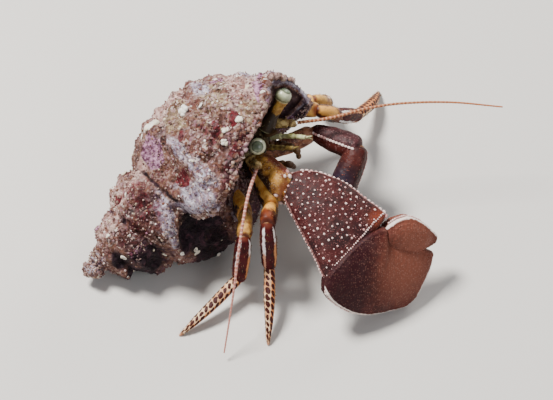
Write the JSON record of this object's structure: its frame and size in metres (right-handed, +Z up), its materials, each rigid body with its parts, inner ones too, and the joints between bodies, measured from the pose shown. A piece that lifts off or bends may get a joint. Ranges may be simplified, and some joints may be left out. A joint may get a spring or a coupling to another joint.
{
  "type": "widehand hermit crab in a whelk shell",
  "caption": "Life-size still model of a widehand hermit crab walking in an encrusted spiral shell, broad right claw forward.",
  "frame": {"origin": "on the floor, under the middle of the outline box", "axes": "+Z up; +X is the way the crab looks, and the shell's spire points towards -X; -Y is its right side, with the broad claw"},
  "size_m": [0.0704, 0.0592, 0.0302],
  "materials": {
    "shell_crust": "granular lime crust, sandy beige with lilac and maroon patches",
    "claw_cuticle": "satin red-brown cuticle with white tubercles and pale rims",
    "leg_cuticle": "satin cuticle, yellow to dark red with white stripes, spotted at the tips",
    "body_cuticle": "olive-yellow satin cuticle",
    "cornea": "smooth pale green cornea with a darker middle",
    "feeler": "ringed orange-brown lash"
  },
  "bodies": {
    "root": {"shell": "shell_crust", "leg2_r_ischium": "leg_cuticle", "leg2_r_merus": "leg_cuticle", "leg2_r_carpus": "leg_cuticle", "leg2_r_propodus": "leg_cuticle", "leg2_r_dactyl": "leg_cuticle", "leg3_r_ischium": "leg_cuticle", "leg3_r_merus": "leg_cuticle", "leg3_r_carpus": "leg_cuticle", "leg3_r_propodus": "leg_cuticle", "leg3_r_dactyl": "leg_cuticle", "leg2_l_ischium": "leg_cuticle", "leg2_l_merus": "leg_cuticle", "leg2_l_carpus": "leg_cuticle", "leg2_l_propodus": "leg_cuticle", "leg2_l_dactyl": "leg_cuticle", "leg3_l_ischium": "leg_cuticle", "leg3_l_merus": "leg_cuticle", "leg3_l_carpus": "leg_cuticle", "leg3_l_propodus": "leg_cuticle", "leg3_l_dactyl": "leg_cuticle", "claw_r_ischium": "claw_cuticle", "claw_r_merus": "claw_cuticle", "claw_r_carpus": "claw_cuticle", "claw_r_palm": "claw_cuticle", "claw_r_dactyl": "claw_cuticle", "claw_l_ischium": "claw_cuticle", "claw_l_merus": "claw_cuticle", "claw_l_carpus": "claw_cuticle", "claw_l_palm": "claw_cuticle", "claw_l_dactyl": "claw_cuticle", "shield": "body_cuticle", "thorax": "body_cuticle", "eyestalk_r": "body_cuticle", "eyestalk_l": "body_cuticle", "antennule_r": "body_cuticle", "antennule_l": "body_cuticle", "antenna_base_r": "body_cuticle", "antenna_base_l": "body_cuticle", "maxilliped_r": "body_cuticle", "maxilliped_l": "body_cuticle", "eye_r": "cornea", "eye_l": "cornea", "antenna_r": "feeler", "antenna_l": "feeler"}
  },
  "joints": []
}
